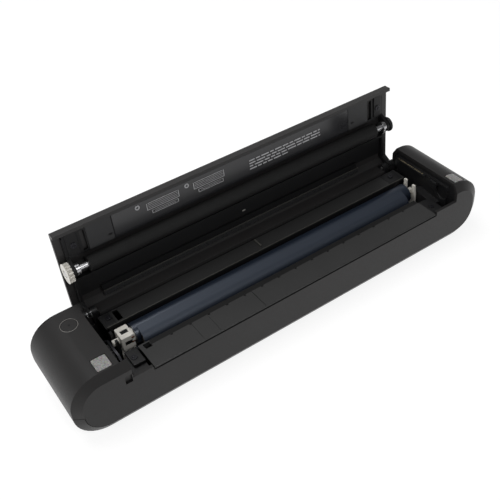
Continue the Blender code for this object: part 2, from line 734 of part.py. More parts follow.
def film_web(supply, takeup):
    """The stretch of film that goes from the full roll over the head and down to the take-up."""
    lift = HEAD_ROUND + GAP + FILM_THICKNESS / 2
    under = rail_top - 1.4 - 1.4
    leaves = math.degrees(math.atan2(supply_z - head_z, SUPPLY_Y - head_y)) + 90
    path = arc((head_y, head_z), lift, leaves, 180, 10)
    path += [(head_y - lift, under + 0.8), (head_y - lift + 0.8, under)]
    first = tangent(supply, SUPPLY_RADIUS + 0.4, path[0], -1)
    last = tangent(takeup, TAKEUP_RADIUS + 0.4, path[-1], 1)
    path = [first, *path, last]
    half = FILM_THICKNESS / 2
    one_side, other_side = [], []
    for index, (y, z) in enumerate(path):
        before = path[max(index - 1, 0)]
        after = path[min(index + 1, len(path) - 1)]
        along = Vector((after[0] - before[0], after[1] - before[1])).normalized()
        one_side.append((y - along.y * half, z + along.x * half))
        other_side.append((y + along.y * half, z - along.x * half))
    outline = one_side + other_side[::-1]
    prism("ribbon_web", outline, "X", film_left + 2.6, film_right - 6.3, FILM_BLUE)


def spool_supports():
    """The cradle and the fork that the two spools turn in, and the sloping block beside them."""
    supply = (SUPPLY_Y, supply_z)
    takeup = takeup_centre()
    foot = WALL + GAP + 0.3
    for name, first, look, top, front_top in (
        ("left_spool_cradle", cradle_x, FRAME_BLACK, supply_z + 5.2, supply_z + 5.2),
        ("right_spool_fork", fork_x, WHITE_PLASTIC, supply_z + 7.8, supply_z + 6.9),
    ):
        thickness = 1.5
        outline = [(SUPPLY_Y - 6.2, foot), (TAKEUP_Y + 5.0, foot), (TAKEUP_Y + 5.0, supply_z - 4)]
        outline += [(SUPPLY_Y + 5.2, supply_z), (SUPPLY_Y + 5.2, top), (SUPPLY_Y + 2.8, top)]
        outline += arc(supply, 2.8, 0, -180, 10)
        outline += [(SUPPLY_Y - 2.8, front_top), (SUPPLY_Y - 5.2, front_top), (SUPPLY_Y - 6.2, supply_z)]
        support = prism(name, outline, "X", first, first + thickness, look)
        cut(support, rod(name + "_bore", first - 2, first + 4, 2.3, takeup, None))


# --- Drive train -------------------------------------------------------------------------------


def drive_centre():
    """Below the shut platen gear, on the line along which the lid brings that gear in."""
    arm = Vector((PLATEN_Y - hinge_y, platen_z - hinge_z)).normalized()
    reach = MODULE * (PLATEN_TEETH + DRIVE_TEETH) / 2 + MESH_GAP
    return (PLATEN_Y - arm.y * reach, platen_z + arm.x * reach)


def pinion_centre():
    centre = drive_centre()
    reach = MODULE * (DRIVE_TEETH + PINION_TEETH) / 2 + MESH_GAP
    angle = math.radians(PINION_ANGLE)
    return (centre[0] + reach * math.cos(angle), centre[1] + reach * math.sin(angle))


def takeup_centre():
    """The take-up axis keeps its Y and drops to where its gear meshes with the drive gear."""
    centre = drive_centre()
    reach = MODULE * (DRIVE_TEETH + TAKEUP_TEETH) / 2 + MESH_GAP
    sideways = TAKEUP_Y - centre[0]
    return (TAKEUP_Y, centre[1] - math.sqrt(reach**2 - sideways**2))


def gear(name, centre, teeth, phase, bore, look, parent=None):
    """A spur gear whose first tooth points along phase, with a bore."""
    root = MODULE * (teeth / 2 - 1.2)
    tip = MODULE * (teeth / 2 + 0.9)
    turn = 2 * math.pi / teeth
    outer = []
    for tooth in range(teeth):
        middle = phase + tooth * turn
        for part, radius in ((-0.30, root), (-0.11, tip), (0.11, tip), (0.30, root)):
            angle = middle + part * turn
            outer.append((centre[0] + radius * math.cos(angle), centre[1] + radius * math.sin(angle)))
    start = phase - 0.30 * turn
    inner = circle(centre, bore, len(outer), start)
    count = len(outer)
    points = []
    for x in (gear_left + FLANGE_WIDTH + GAP, gear_right):
        points += [(x, y, z) for y, z in outer]
        points += [(x, y, z) for y, z in inner]
    faces = []
    for index in range(count):
        after = (index + 1) % count
        faces.append([index, after, count + after, count + index])
        faces.append([2 * count + index, 2 * count + after, 3 * count + after, 3 * count + index])
        faces.append([index, after, 2 * count + after, 2 * count + index])
        faces.append([count + index, count + after, 3 * count + after, 3 * count + index])
    return build(name, points, faces, look, parent)


def meshing_phase(centre, teeth, phase, other_centre, other_teeth):
    """The phase that puts the other gear's gap against this gear's nearest tooth."""
    towards = math.atan2(other_centre[1] - centre[1], other_centre[0] - centre[0])
    offset = (phase - towards) % (2 * math.pi / teeth)
    return towards + math.pi - offset * teeth / other_teeth + math.pi / other_teeth


def drive_train():
    drive = drive_centre()
    takeup = takeup_centre()
    pinion = pinion_centre()
    drive_phase = meshing_phase((PLATEN_Y, platen_z), PLATEN_TEETH, platen_phase(), drive, DRIVE_TEETH)
    drive_axis = axis_empty("drive_axis", *drive)
    gear("drive_gear", drive, DRIVE_TEETH, drive_phase, 1.8, FRAME_BLACK, drive_axis)
    phase = meshing_phase(drive, DRIVE_TEETH, drive_phase, takeup, TAKEUP_TEETH)
    takeup_axis = axis_empty("takeup_gear_axis", *takeup)
    gear("takeup_gear", takeup, TAKEUP_TEETH, phase, 2.1, FRAME_BLACK, takeup_axis)
    phase = meshing_phase(drive, DRIVE_TEETH, drive_phase, pinion, PINION_TEETH)
    pinion_axis = axis_empty("pinion_axis", *pinion)
    small_gear = gear("motor_pinion", pinion, PINION_TEETH, phase, 0.8, BRASS, pinion_axis)
    shaft_left = bay_left - 2.8
    fuse(small_gear, rod("motor_shaft", shaft_left, gear_right - 0.3, 1.0, pinion, None, pinion_axis, 16))
    can_right = shaft_left - 0.3
    rod("motor", can_right - MOTOR_LENGTH, can_right, MOTOR_RADIUS, pinion, STEEL, None, 32, 0.8)
    plate_left = gear_right + 0.6
    outline = [(pinion[0] - 7.0, WALL + GAP + 0.3), (TAKEUP_Y + 8.0, WALL + GAP + 0.3)]
    outline += [(TAKEUP_Y + 8.0, supply_z - 4), (drive[0] + 7.5, deck_top - 0.6)]
    outline += [(drive[0] - 7.0, deck_top - 0.6), (pinion[0] - 7.0, pinion[1] + 4.0)]
    plate = prism("gear_plate", outline, "X", plate_left, plate_left + 1.4, BLACK_STEEL)
    cut(plate, rod("takeup_bore", plate_left - 2, plate_left + 4, 2.1, takeup, None))
    cut(plate, rod("core_clearance", plate_left - 2, plate_left + 4, 2.8, (SUPPLY_Y, supply_z), None))
    fuse(plate, rod("drive_gear_stud", gear_left - 0.3, plate_left + 0.7, 1.5, drive, None, steps=16))


# --- Electronics -------------------------------------------------------------------------------


def board(name, low, high, blocks):
    """A circuit board with a few square components standing on it."""
    piece = box(name, low, high, BOARD_GREEN)
    for number, (x, y, width, depth, height) in enumerate(blocks, 1):
        chip_low = (x - width / 2, y - depth / 2, high[2] - 0.3)
        chip_high = (x + width / 2, y + depth / 2, high[2] + height)
        fuse(piece, box(f"{name}_chip_{number}", chip_low, chip_high, None))
    return piece


def electronics():
    board_low = WALL + GAP + CHASSIS_THICKNESS + 2.5
    middle = -cavity_depth + 9.0
    chips = [(-40.0, middle, 12.0, 9.0, 1.2), (0.0, middle, 9.0, 9.0, 1.5)]
    chips += [(35.0, middle + 1.5, 16.0, 5.0, 4.0), (60.0, middle, 6.0, 6.0, 6.0)]
    low = (bay_left + 35.0, middle - 6.5, board_low)
    board_right = half_length - SCREW_FROM_END - 5.0
    board("main_board", low, (board_right, middle + 6.5, board_low + BOARD_THICKNESS), chips)
    battery_low = (-60.0, bay_back + 2.0, bay_floor + GAP)
    battery_high = (68.0, min(cavity_depth - 2.0, bay_back + 16.0), deck_top - 7.0)
    soften(box("battery_pack", battery_low, battery_high, BATTERY_WRAP), 1.5)
    top = control_board_top()
    low = (bay_left - 25.0, -half_depth + 8.0, top - BOARD_THICKNESS)
    high = (bay_left - 4.0, half_depth - 8.0, top)
    x, y = button_place()
    chips = [(x, y, 4.0, 4.0, 0.25), (bay_left - 8.1, -half_depth + 10.5, 3.0, 3.0, 1.0)]
    board("control_board", low, high, chips)


# --- Lid ---------------------------------------------------------------------------------------


def skin_profile(offset):
    """The lid's section seen from the side, moved inwards; it wraps over the rear edge."""
    front = -half_depth + LID_FRONT_FROM_FRONT + offset
    top = BODY_HEIGHT - offset
    back = half_depth - offset
    face_inset, side_step = chamfer_inside(offset)
    lip = BODY_HEIGHT - LID_LIP_HEIGHT
    crown = 0.8 if offset == 0 else 0.3
    points = [(front, lip), (front, top - crown), (front + crown, top)]
    points += [(half_depth - side_step, top), (back, BODY_HEIGHT - face_inset), (back, flange_bottom)]
    return points


def lid_cover():
    outline = skin_profile(0.0) + skin_profile(WALL)[::-1]
    cover = prism("lid_cover", outline, "X", lid_left, lid_right, CASE_BLACK, hinge)
    far = half_depth + 5
    left_notch = (lid_left - 5, hinge_y - 6, flange_bottom - 5)
    right_notch = (side_right - 5.6, hinge_y - 6, flange_bottom - 5)
    notch_top = hinge_z + 4.4
    cut(cover, box("left_notch", left_notch, (bay_left + 12.0, far, notch_top), None, hinge))
    cut(cover, box("right_notch", right_notch, (lid_right + 5, far, notch_top), None, hinge))
    tip = MODULE * (PLATEN_TEETH / 2 + 0.9) + 0.5
    relief = rod("gear_relief", lid_left - 2, gear_right + 0.5, tip, (PLATEN_Y, platen_z), None, hinge)
    return cut(cover, relief)


def side_outline():
    """A lid side plate: flat along the skin, round under the platen and round at the hinge."""
    top = skin_inside - GAP
    inner_back = half_depth - WALL - 1.9
    points = [(-half_depth + 9.0, top), (-half_depth + 9.0, top - 1.7), (PLATEN_Y - 7.5, top - 1.7)]
    points += arc((PLATEN_Y, platen_z), 4.2, 200, 340, 10)
    points += [(PLATEN_Y + 8.0, top - 3.6), (hinge_y - 5.0, top - 3.6)]
    points += arc((hinge_y, hinge_z), HINGE_BOSS_RADIUS, 180, 400, 14)
    points += [(inner_back, hinge_z + 5.5), (inner_back - 3.0, top)]
    return points


def lid_frame():
    """The inner frame: the label panel, a rib each side of the platen and the two side plates."""
    top = skin_inside - GAP
    left_in = side_left + 0.5
    right_in = side_right + SIDE_PLATE - 0.5
    outline = side_outline()
    frame = prism("lid_frame", outline, "X", side_left, side_left + SIDE_PLATE, FRAME_BLACK, hinge)
    right_plate = prism("right_side_plate", outline, "X", side_right, side_right + SIDE_PLATE, None, hinge)
    front = -half_depth + LID_FRONT_FROM_FRONT + WALL + GAP
    panel = box("label_panel", (left_in, front, top - 1.7), (right_in, PLATEN_Y - 5.8, top), None, hinge)
    rib_low = (left_in, PLATEN_Y + 8.8, top - 3.6)
    rib = box("platen_rib", rib_low, (right_in, PLATEN_Y + 10.2, top), None, hinge)
    rear_low = (left_in, PLATEN_Y + 9.5, top - 1.1)
    rear = box("rear_panel", rear_low, (right_in, hinge_y - 7.4, top), None, hinge)
    band_low = (film_left - 1.4, hinge_y - 9.5, top - 3.0)
    band = box("paper_band", band_low, (film_right - 17.8, hinge_y - 5.5, top), None, hinge)
    fuse(frame, right_plate, panel, rib, rear, band)
    for name, x in (("left_slot", bay_left + 18.0), ("right_slot", bay_right - 17.5)):
        slot_low = (x - 1.5, front + 2.0, top - 5)
        cut(frame, box(name, slot_low, (x + 1.5, PLATEN_Y - 7.0, top + 0.15), None, hinge))
    for name, y, z in (("left_pin_bore", hinge_y, hinge_z), ("left_bearing_bore", PLATEN_Y, platen_z)):
        radius = HINGE_PIN_RADIUS + GAP if y == hinge_y else 3.3
        cut(frame, rod(name, side_left - 3, side_left + 5, radius, (y, z), None, hinge))
        cut(frame, rod("right_" + name, side_right - 3, side_right + 5, radius, (y, z), None, hinge))
    for side, x in (("left", side_left + 6.0), ("right", side_right - 3.4)):
        place = (x, front + 9.0)
        hole = circle(place, 1.3, 16)
        cut(frame, prism(side + "_lid_screw_hole", hole, "Z", top - 5, top + 0.15, None, hinge))
        under = top - 1.7 - GAP
        cap = circle(place, 2.0, 16)
        head = prism(side + "_lid_screw", cap, "Z", under - 1.0, under, BLACK_STEEL, hinge)
        shank = prism(side + "_lid_shank", circle(place, 1.0, 16), "Z", under - 0.5, top - 0.3, None, hinge)
        fuse(head, shank)
    label_low = (bay_left + 37.5, front + 0.6, top - 1.7 - GAP - 0.25)
    label_high = (bay_right - 37.3, PLATEN_Y - 6.2, top - 1.7 - GAP)
    box("lid_label", label_low, label_high, LABEL_BLACK, hinge)


def platen_phase():
    """One platen tooth points straight at the drive gear when the lid is shut."""
    centre = drive_centre()
    return math.atan2(centre[1] - platen_z, centre[0] - PLATEN_Y)


def platen():
    """The rubber roller on its steel shaft, with its gear, two bearings and an end cap."""
    centre = (PLATEN_Y, platen_z)
    axis = axis_empty("platen_axis", *centre, hinge)
    rubber_left = bay_left + 15.5
    rubber_right = bay_right - 17.3
    shaft_end = side_right + SIDE_PLATE
    bore = SHAFT_RADIUS + GAP
    sleeve("platen_rubber", rubber_left, rubber_right, PLATEN_RADIUS, bore, centre, RUBBER_BLACK, axis, 32)
    rod("platen_shaft", gear_left + 0.1, shaft_end, SHAFT_RADIUS, centre, STEEL, axis)
    toothed = gear("platen_gear", centre, PLATEN_TEETH, platen_phase(), bore, WHITE_PLASTIC, axis)
    neck = gear_left + FLANGE_WIDTH
    profile = [(gear_left, bore + 0.3), (gear_left, FLANGE_RADIUS - 0.3), (gear_left + 0.2, FLANGE_RADIUS)]
    profile += [(neck, FLANGE_RADIUS), (neck, 4.5), (neck + GAP + 0.2, 4.5), (neck + GAP + 0.2, bore + 0.3)]
    fuse(toothed, turned("gear_flange", profile, centre, None, axis, 40, ring=True))
    for side, low, flange_low, high in (
        ("left", side_left - GAP, side_left + SIDE_PLATE + GAP, side_left + SIDE_PLATE + 2.6),
        ("right", side_right + SIDE_PLATE - 0.2, side_right - GAP, side_right - 2.6),
    ):
        profile = [(low, bore), (low, 3.0), (flange_low, 3.0), (flange_low, 3.7), (high, 3.7), (high, bore)]
        turned(side + "_platen_bearing", profile, centre, STEEL, hinge, 24, ring=True)
    rod("platen_end_cap", shaft_end + 0.4, shaft_end + 2.6, 5.2, centre, FRAME_BLACK, hinge, 24, 0.5)


upper_casing()
bottom_cover()
case_fittings()
bulkheads()
chassis()
corner_shelves()
guide_plate()
rear_deck()
hinge_brackets()
print_head()
ribbon()
spool_supports()
drive_train()
electronics()
lid_cover()
lid_frame()
platen()
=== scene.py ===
import json
import math
import random

import bpy
from mathutils import Matrix, Vector

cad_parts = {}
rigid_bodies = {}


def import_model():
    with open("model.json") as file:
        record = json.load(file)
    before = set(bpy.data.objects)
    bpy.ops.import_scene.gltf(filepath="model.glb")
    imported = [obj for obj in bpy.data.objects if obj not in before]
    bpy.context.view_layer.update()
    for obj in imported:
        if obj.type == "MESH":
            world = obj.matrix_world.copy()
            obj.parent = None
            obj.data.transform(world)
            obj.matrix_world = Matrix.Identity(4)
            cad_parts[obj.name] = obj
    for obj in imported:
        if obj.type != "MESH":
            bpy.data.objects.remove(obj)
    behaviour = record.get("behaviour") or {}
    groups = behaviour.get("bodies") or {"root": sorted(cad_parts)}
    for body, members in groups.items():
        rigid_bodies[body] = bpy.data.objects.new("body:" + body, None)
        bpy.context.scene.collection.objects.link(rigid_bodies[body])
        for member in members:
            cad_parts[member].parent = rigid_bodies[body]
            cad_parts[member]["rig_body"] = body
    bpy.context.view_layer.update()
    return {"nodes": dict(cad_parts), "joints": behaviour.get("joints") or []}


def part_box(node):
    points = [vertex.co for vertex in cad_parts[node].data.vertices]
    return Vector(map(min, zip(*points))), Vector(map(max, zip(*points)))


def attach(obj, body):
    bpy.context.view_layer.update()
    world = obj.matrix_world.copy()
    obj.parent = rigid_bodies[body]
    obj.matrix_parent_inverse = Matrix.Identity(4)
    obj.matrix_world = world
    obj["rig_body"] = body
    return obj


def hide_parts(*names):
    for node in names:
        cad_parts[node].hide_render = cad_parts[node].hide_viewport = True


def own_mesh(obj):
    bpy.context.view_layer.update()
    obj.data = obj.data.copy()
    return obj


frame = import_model()
nodes = frame["nodes"]
bpy.ops.object.select_all(action="DESELECT")
MM = 0.001

# The viewpoint: a product view from the front left, a little above and turned slightly
# over, with a short telephoto lens about half a metre away.
AZIMUTH, ELEVATION, ROLL = (math.radians(angle) for angle in (-31.03, 41.05, -5.22))
DISTANCE = 481.74 * MM
LOOK_AT = Vector((-15.03, 0.0, 48.38)) * MM
turn = Matrix.Rotation(AZIMUTH, 3, "Z") @ Matrix.Rotation(math.pi / 2 - ELEVATION, 3, "X")
turn = turn @ Matrix.Rotation(ROLL, 3, "Z")
bpy.ops.object.camera_add(
    location=LOOK_AT + turn @ Vector((0.0, 0.0, DISTANCE)), rotation=turn.to_euler()
)
camera = bpy.context.object
camera.data.lens = 56.0
camera.data.clip_start = 0.01
bpy.context.scene.camera = camera
bpy.context.scene.view_settings.view_transform = "Standard"


# The studio: a white paper sweep that reads as plain white, one big soft box overhead and two
# smaller ones, at the left and in front, so the black case shows its form by pale reflections.
def hex_colour(text):
    """An sRGB hex colour as linear values."""
    parts = [int(text[place : place + 2], 16) / 255 for place in (0, 2, 4)]
    linear = [v / 12.92 if v <= 0.04045 else ((v + 0.055) / 1.055) ** 2.4 for v in parts]
    return (*linear, 1.0)


def add_node(material, kind, sockets=None, **settings):
    """Adds a node, with its settings, and fills its sockets with values or with links."""
    node = material.node_tree.nodes.new(kind)
    for name, value in settings.items():
        setattr(node, name, value)
    for name, value in (sockets or {}).items():
        if isinstance(value, bpy.types.NodeSocket):
            material.node_tree.links.new(value, node.inputs[name])
        else:
            node.inputs[name].default_value = value
    return node


def in_new_range(material, value, from_low, from_high, to_low, to_high):
    """Stretches a value from one range to another."""
    limits = {"From Min": from_low, "From Max": from_high, "To Min": to_low, "To Max": to_high}
    return add_node(material, "ShaderNodeMapRange", {"Value": value, **limits}).outputs["Result"]


def new_material(name):
    """A material with only its shader, and the shader."""
    material = bpy.data.materials.new(name)
    material.use_nodes = True
    return material, material.node_tree.nodes["Principled BSDF"]


def settled(name):
    """Names the object just added, and puts its size and place into its mesh."""
    piece = bpy.context.object
    piece.name = name
    bpy.ops.object.transform_apply(location=True, rotation=True, scale=True)
    return piece


paper, shader = new_material("white_paper_sweep")
shader.inputs["Base Color"].default_value = hex_colour("8A8A8A")
shader.inputs["Roughness"].default_value = 0.9
shader.inputs["Specular IOR Level"].default_value = 0.1
shader.inputs["Emission Color"].default_value = (1.0, 1.0, 1.0, 1.0)
shader.inputs["Emission Strength"].default_value = 0.84
FLOOR_SIZE = 12.0
FLOOR_HEIGHT = -0.82 * MM  # just under the rubber feet
bpy.ops.mesh.primitive_plane_add(size=FLOOR_SIZE, location=(0.0, 0.0, FLOOR_HEIGHT))
floor = settled("studio_floor")
floor.data.materials.append(paper)

world = bpy.data.worlds.new("studio_air")
world.use_nodes = True
bpy.context.scene.world = world
# The room is dim overhead, its far wall is lit, and a pale band runs round it at floor level.
facing = add_node(world, "ShaderNodeTexCoord").outputs["Generated"]
ways = add_node(world, "ShaderNodeSeparateXYZ", {"Vector": facing}).outputs
far_wall = in_new_range(world, ways["Y"], -0.2, 0.7, 0.1, 0.45)
pale_band = in_new_range(world, ways["Z"], 0.1, 0.3, 0.5, 0.0)
room = add_node(world, "ShaderNodeMath", operation="ADD")
background = world.node_tree.nodes["Background"]
world.node_tree.links.new(far_wall, room.inputs[0])
world.node_tree.links.new(pale_band, room.inputs[1])
world.node_tree.links.new(room.outputs["Value"], background.inputs["Color"])
background.inputs["Strength"].default_value = 1.0

LIGHTS_AIM = Vector((0.0, 0.0, 0.03))
for name, place, size, power in (
    ("overhead_box", (-0.2, 0.3, 1.1), 0.7, 5.5),
    ("left_box", (-1.1, -0.2, 0.75), 0.6, 3.4),
    ("front_box", (0.02, -0.8, 0.85), 0.35, 2.6),
):
    aim = (LIGHTS_AIM - Vector(place)).to_track_quat("-Z", "Y")
    bpy.ops.object.light_add(type="AREA", location=place, rotation=aim.to_euler())
    light = bpy.context.object
    light.name = name
    light.data.shape = "DISK"
    light.data.size = size
    light.data.energy = power


# The case: two deep shells of black ABS, injection moulded in spark-eroded tools and screwed
# together from below. The upper shell carries the flat front panel; the lower one is the base.
def raise_bumps(material, shader, height, strength, distance_mm):
    """Lets a pattern's height tilt the surface."""
    relief = {"Strength": strength, "Distance": distance_mm * MM, "Height": height}
    bump = add_node(material, "ShaderNodeBump", relief)
    material.node_tree.links.new(bump.outputs["Normal"], shader.inputs["Normal"])


def textured_plastic(name, colour, roughness, grain_mm=0.6, depth=0.12, specular=0.5):
    """Moulded ABS: a grain that scatters the light, with a faint unevenness of tone."""
    material, shader = new_material(name)
    place = add_node(material, "ShaderNodeTexCoord").outputs["Object"]
    fine = {"Vector": place, "Scale": 1 / (grain_mm * MM), "Detail": 3.0}
    grain = add_node(material, "ShaderNodeTexNoise", fine)
    broad = {"Vector": place, "Scale": 1 / (24 * MM), "Detail": 4.0}
    cloud = add_node(material, "ShaderNodeTexNoise", broad)
    base = Vector(hex_colour(colour)[:3])
    tones = {"Color1": (*(base * 0.86), 1.0), "Color2": (*(base * 1.14), 1.0)}
    tone = add_node(material, "ShaderNodeMixRGB", {"Fac": cloud.outputs["Fac"], **tones})
    height = grain.outputs["Fac"]
    speckle = in_new_range(material, height, 0.3, 0.7, roughness - 0.07, roughness + 0.09)
    links = material.node_tree.links
    links.new(tone.outputs["Color"], shader.inputs["Base Color"])
    links.new(speckle, shader.inputs["Roughness"])
    raise_bumps(material, shader, height, depth, 0.12 * grain_mm)
    shader.inputs["Specular IOR Level"].default_value = specular
    return material


def put_in_use(piece, material, node, stands_in=True):
    """Smooths a finished piece, gives it its material and lets it move with a node's body."""
    bpy.ops.object.select_all(action="DESELECT")
    bpy.context.view_layer.objects.active = piece
    piece.select_set(True)
    if material.name not in piece.data.materials:
        piece.data.materials.clear()
        piece.data.materials.append(material)
    bpy.ops.object.shade_smooth_by_angle(angle=math.radians(48))
    weighted = piece.modifiers.new("flat_faces", "WEIGHTED_NORMAL")
    weighted.keep_sharp = True
    bpy.ops.object.modifier_apply(modifier="flat_faces")
    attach(piece, nodes[node]["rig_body"])
    if stands_in:
        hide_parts(node)
    return piece


def merged_copy(node, name):
    """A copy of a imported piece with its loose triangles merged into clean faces."""
    piece = bpy.data.objects.new(name, nodes[node].data.copy())
    bpy.context.scene.collection.objects.link(piece)
    piece.data.materials.clear()
    bpy.ops.object.select_all(action="DESELECT")
    bpy.context.view_layer.objects.active = piece
    piece.select_set(True)
    bpy.ops.object.mode_set(mode="EDIT")
    bpy.ops.mesh.select_all(action="SELECT")
    bpy.ops.mesh.remove_doubles(threshold=0.004 * MM)
    bpy.ops.mesh.dissolve_limited(angle_limit=math.radians(0.6))
    bpy.ops.object.mode_set(mode="OBJECT")
    return piece


def soften_edges(piece, width_mm, corner=28.0):
    """Rounds over the edges that a mould or a file would leave round."""
    bpy.context.view_layer.objects.active = piece
    bevel = piece.modifiers.new("soft_edge", "BEVEL")
    bevel.width = width_mm * MM
    bevel.segments = 2
    bevel.limit_method = "ANGLE"
    bevel.angle_limit = math.radians(corner)
    bpy.ops.object.modifier_apply(modifier="soft_edge")
    return piece


case_abs = textured_plastic("case_abs_spark_grain", "242323", 0.42, 0.6, 0.12, 0.24)
for node in ("upper_casing", "bottom_cover"):
    put_in_use(soften_edges(merged_copy(node, node + "_shell"), 0.5), case_abs, node)


# The power button: a round ABS cap with a slightly dished top, on a stem that presses a switch. A
# clear ring round it is coloured pale grey as a painted glow, and a small dark pip marks its
# middle.
def middle_of(node):
    """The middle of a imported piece's box, in millimetres."""
    low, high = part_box(node)
    return (Vector(low) + Vector(high)) / 2 / MM


cap = soften_edges(merged_copy("power_button", "power_button_cap"), 0.35)
put_in_use(cap, case_abs, "power_button")
cap_x, cap_y, _ = middle_of("power_button")
cap_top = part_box("power_button")[1][2] / MM


def flat_ring(name, x, y, z, major, minor, around, across):
    """A round-section ring lying flat, with its numbers of sides around and across."""
    bpy.ops.mesh.primitive_torus_add(
        location=Vector((x, y, z)) * MM,
        major_radius=major * MM,
        minor_radius=minor * MM,
        major_segments=around,
        minor_segments=across,
    )
    return settled(name)


def flat_disc(name, x, y, z, radius, height, sides):
    """A disc lying flat about its middle."""
    bpy.ops.mesh.primitive_cylinder_add(
        vertices=sides,
        radius=radius * MM,
        depth=height * MM,
        location=Vector((x, y, z)) * MM,
    )
    return settled(name)


# The ring's pale grey is a painted glow, not a lamp; the painted glint on the lid uses it too.
painted_glow_and_glint, shader = new_material("acrylic_painted_glow_and_glint")
shader.inputs["Base Color"].default_value = hex_colour("8E8C88")
shader.inputs["Roughness"].default_value = 0.25
ring = flat_ring("button_light_ring", cap_x, cap_y, cap_top - 0.1, 5.24, 0.13, 72, 10)
put_in_use(ring, painted_glow_and_glint, "upper_casing", stands_in=False)
black_ink_and_shade = textured_plastic("black_ink_and_painted_shade", "060606", 0.5, 0.3, 0.05, 0.3)
pip = flat_disc("button_pip", cap_x, cap_y, cap_top + 0.02, 0.75, 0.2, 32)
soften_edges(pip, 0.05)
put_in_use(pip, black_ink_and_shade, "power_button", stands_in=False)


# The two light windows: frosted polycarbonate with fine metal flake, pushed up into rounded
# openings from inside and flush with the grained top.
window, shader = new_material("frosted_polycarbonate_flake")
place = add_node(window, "ShaderNodeTexCoord").outputs["Object"]
# Flake of about 0.5 mm: the real one is finer, and would not show.
flakes = add_node(window, "ShaderNodeTexVoronoi", {"Vector": place, "Scale": 1 / (0.55 * MM)})
cloud = {"Vector": place, "Scale": 1 / (0.9 * MM), "Detail": 5.0}
haze = add_node(window, "ShaderNodeTexNoise", cloud)
level = in_new_range(window, haze.outputs["Fac"], 0.25, 0.75, 0.0, 1.0)
tones = {"Color1": hex_colour("626160"), "Color2": hex_colour("A3A2A0")}
tone = add_node(window, "ShaderNodeMixRGB", {"Fac": level, **tones})
spark = {"Color1": tone.outputs["Color"], "Color2": flakes.outputs["Color"], "Fac": 0.16}
sparkle = add_node(window, "ShaderNodeMixRGB", spark, blend_type="OVERLAY")
window.node_tree.links.new(sparkle.outputs["Color"], shader.inputs["Base Color"])
shader.inputs["Roughness"].default_value = 0.34
for node in ("left_light_window", "right_light_window"):
    put_in_use(soften_edges(merged_copy(node, node + "_pane"), 0.2), window, node)


# The bay: bulkheads, floor and shelves of a smoother black ABS that is never meant to be
# handled, so it keeps the plain satin of a polished tool. Each part is its own moulding.
inner_abs = textured_plastic("inner_abs_satin", "1A1A1B", 0.4, 0.5, 0.05, 0.3)
for node in (
    "left_bulkhead",
    "right_bulkhead",
    "chassis",
    "left_shelf",
    "right_shelf",
    "left_hinge_bracket",
    "right_hinge_bracket",
    "left_spool_cradle",
):
    put_in_use(soften_edges(merged_copy(node, node + "_moulding"), 0.2), inner_abs, node)


# The right bulkhead carries a black strip along its top, foiled with a row of plain register
# dashes in rubbed gilt, and a moulded step in front of it.
def shaped_block(name, low, high, soft_mm=0.15):
    """A block added at its size and place, with every edge rounded over by a bevel."""
    low, high = Vector(low) * MM, Vector(high) * MM
    bpy.ops.mesh.primitive_cube_add(size=1.0, location=(low + high) / 2, scale=high - low)
    block = settled(name)
    bpy.ops.object.mode_set(mode="EDIT")
    bpy.ops.mesh.select_all(action="SELECT")
    bpy.ops.mesh.bevel(offset=soft_mm * MM, segments=2, affect="EDGES")
    bpy.ops.object.mode_set(mode="OBJECT")
    return block


def mottled(name, dark, light, patch_mm, detail, roughness):
    """A material whose tone drifts between two colours, its shader, and the patches."""
    material, shader = new_material(name)
    place = add_node(material, "ShaderNodeTexCoord").outputs["Object"]
    cloud = {"Vector": place, "Scale": 1 / (patch_mm * MM), "Detail": detail}
    patches = add_node(material, "ShaderNodeTexNoise", cloud)
    tones = {"Color1": hex_colour(dark), "Color2": hex_colour(light)}
    tone = add_node(material, "ShaderNodeMixRGB", {"Fac": patches.outputs["Fac"], **tones})
    material.node_tree.links.new(tone.outputs["Color"], shader.inputs["Base Color"])
    shader.inputs["Roughness"].default_value = roughness
    return material, shader, patches


gilt, shader, _ = mottled("gilt_foil_rubbed", "57503F", "8C8166", 0.6, 3.0, 0.45)
shader.inputs["Metallic"].default_value = 0.3
wall_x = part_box("right_bulkhead")[1][0] / MM
strip_low, strip_high = (wall_x - 5.0, -3.5, 38.4), (wall_x - 3.1, 25.0, 39.5)
strip = shaped_block("register_strip", strip_low, strip_high, 0.15)
put_in_use(strip, inner_abs, "right_bulkhead", stands_in=False)
DASHES, DASH_PITCH = 14, 1.75
for number in range(DASHES):
    start = 23.0 - DASH_PITCH * number
    length = 1.15 if number % 4 else 0.6
    dash = shaped_block(
        f"register_dash_{number + 1}",
        (wall_x - 4.6, start - length, 39.4),
        (wall_x - 3.5, start, 39.56),
        0.03,
    )
    put_in_use(dash, gilt, "right_bulkhead", stands_in=False)
step = shaped_block("bulkhead_step", (130.0, -14.2, 33.0), (131.2, -8.0, 38.9), 0.3)
put_in_use(step, inner_abs, "right_bulkhead", stands_in=False)


# The guide plate: a flat black plate with a satin top, worn by paper, that the sheet slides
# over. Three shallow grooves mark the edges of the narrower sheets.
plate_abs = textured_plastic("plate_abs_paper_worn", "333333", 0.42, 0.5, 0.05, 0.28)
plate = merged_copy("guide_plate", "guide_plate_top")
plate_low, plate_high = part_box("guide_plate")


def cut_groove(piece, low, high):
    """Takes a straight groove out of a piece with a block that is then thrown away."""
    cutter = shaped_block("groove_cutter", low, high, 0.05)
    bpy.context.view_layer.objects.active = piece
    groove = piece.modifiers.new("groove", "BOOLEAN")
    groove.object = cutter
    groove.solver = "EXACT"
    bpy.ops.object.modifier_apply(modifier="groove")
    bpy.data.objects.remove(cutter, do_unlink=True)


for middle, width, depth in ((-26.0, 0.6, 0.5), (-58.3, 0.35, 0.25), (-69.7, 0.35, 0.25)):
    groove_low = (middle - width / 2, -30.9, plate_high[2] / MM - depth)
    groove_high = (middle + width / 2, -15.3, plate_high[2] / MM + 1.0)
    cut_groove(plate, groove_low, groove_high)
put_in_use(soften_edges(plate, 0.15), plate_abs, "guide_plate")
